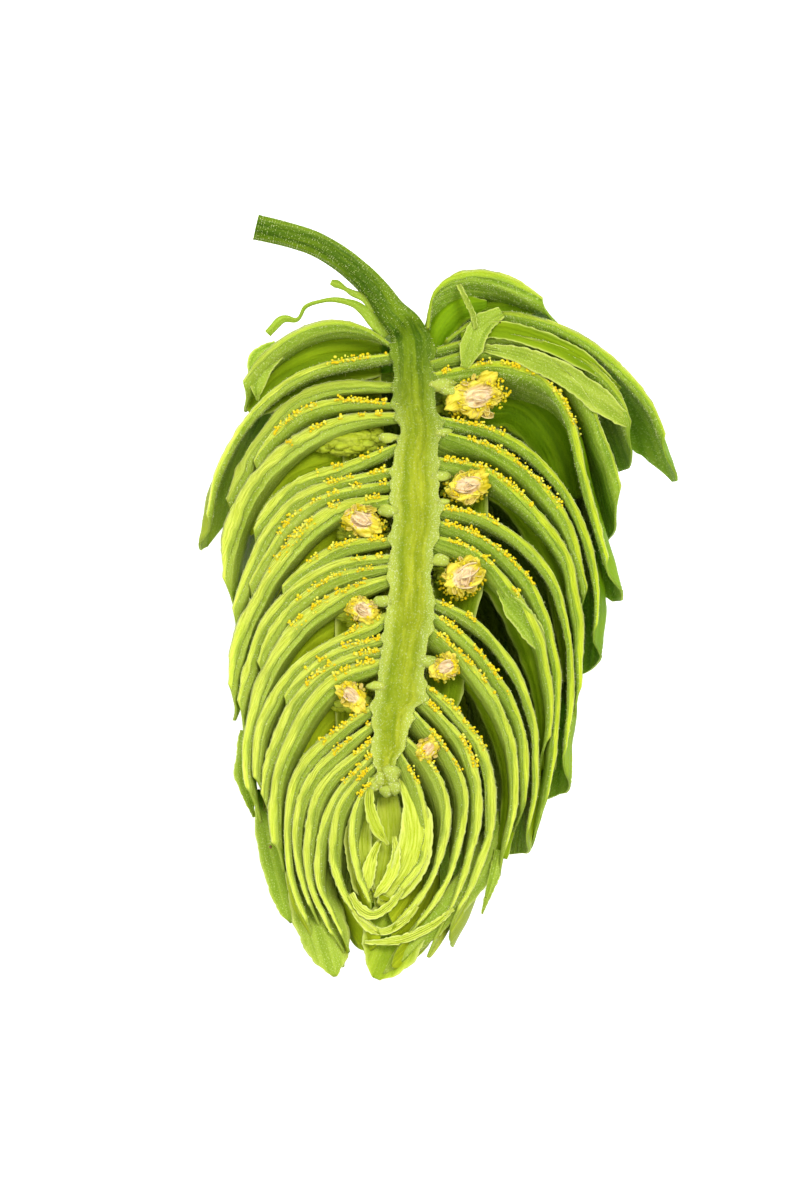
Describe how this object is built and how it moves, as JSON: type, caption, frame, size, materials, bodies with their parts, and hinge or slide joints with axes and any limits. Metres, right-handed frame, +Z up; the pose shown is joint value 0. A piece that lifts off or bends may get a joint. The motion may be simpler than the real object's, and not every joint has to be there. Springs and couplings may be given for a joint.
{
  "type": "halved hop cone",
  "caption": "Hop cone cut in half lengthwise, lying on its round back with its stem, its nested bracts, seeds and strig open to view.",
  "frame": {"origin": "middle of the outline, on the surface that the cone lies on", "axes": "+Z up out of the cut face, +Y along the cone towards the stem, +X across the cut face"},
  "size_m": [0.0232, 0.038, 0.0097],
  "materials": {
    "bract": "green bract, satin, paler along the cut",
    "bracteole": "pale green bracteole, satin, dusted with yellow lupulin",
    "outer_bract": "mid green outer bract, matt with fine pale hairs",
    "strig": "pale green cut strig and darker ribbed stem",
    "seed": "buff seed in a papery perianth under yellow lupulin"
  },
  "bodies": {
    "root": {"back_bract_01": "outer_bract", "back_bract_02": "outer_bract", "back_bract_03": "outer_bract", "back_bract_04": "outer_bract", "back_bract_05": "outer_bract", "back_bract_06": "outer_bract", "back_bract_07": "outer_bract", "curled_stipule": "outer_bract", "left_bract_01": "bract", "left_bract_02": "bract", "left_bract_03": "bract", "left_bract_05": "bract", "left_bract_07": "bract", "left_bract_09": "bract", "left_bract_11": "bract", "left_bract_13": "bract", "left_bract_14": "bract", "left_bract_17": "bract", "left_bract_18": "bract", "left_bract_20": "bract", "left_bract_22": "bract", "left_bracteole_04": "bracteole", "left_bracteole_06": "bracteole", "left_bracteole_08": "bracteole", "left_bracteole_10": "bracteole", "left_bracteole_12": "bracteole", "left_bracteole_15": "bracteole", "left_bracteole_16": "bracteole", "left_bracteole_19": "bracteole", "left_bracteole_21": "bracteole", "left_bracteole_23": "bracteole", "left_seed_01": "seed", "left_seed_02": "seed", "left_seed_03": "seed", "right_bract_01": "bract", "right_bract_02": "bract", "right_bract_03": "bract", "right_bract_04": "bract", "right_bract_05": "bract", "right_bract_06": "bract", "right_bract_08": "bract", "right_bract_09": "bract", "right_bract_11": "bract", "right_bract_12": "bract", "right_bract_14": "bract", "right_bract_15": "bract", "right_bract_17": "bract", "right_bract_19": "bract", "right_bracteole_07": "bracteole", "right_bracteole_10": "bracteole", "right_bracteole_13": "bracteole", "right_bracteole_16": "bracteole", "right_bracteole_18": "bracteole", "right_seed_01": "seed", "right_seed_02": "seed", "right_seed_03": "seed", "right_seed_04": "seed", "right_seed_05": "seed", "stem_and_strig": "strig", "stipule_stub": "outer_bract"}
  },
  "joints": []
}
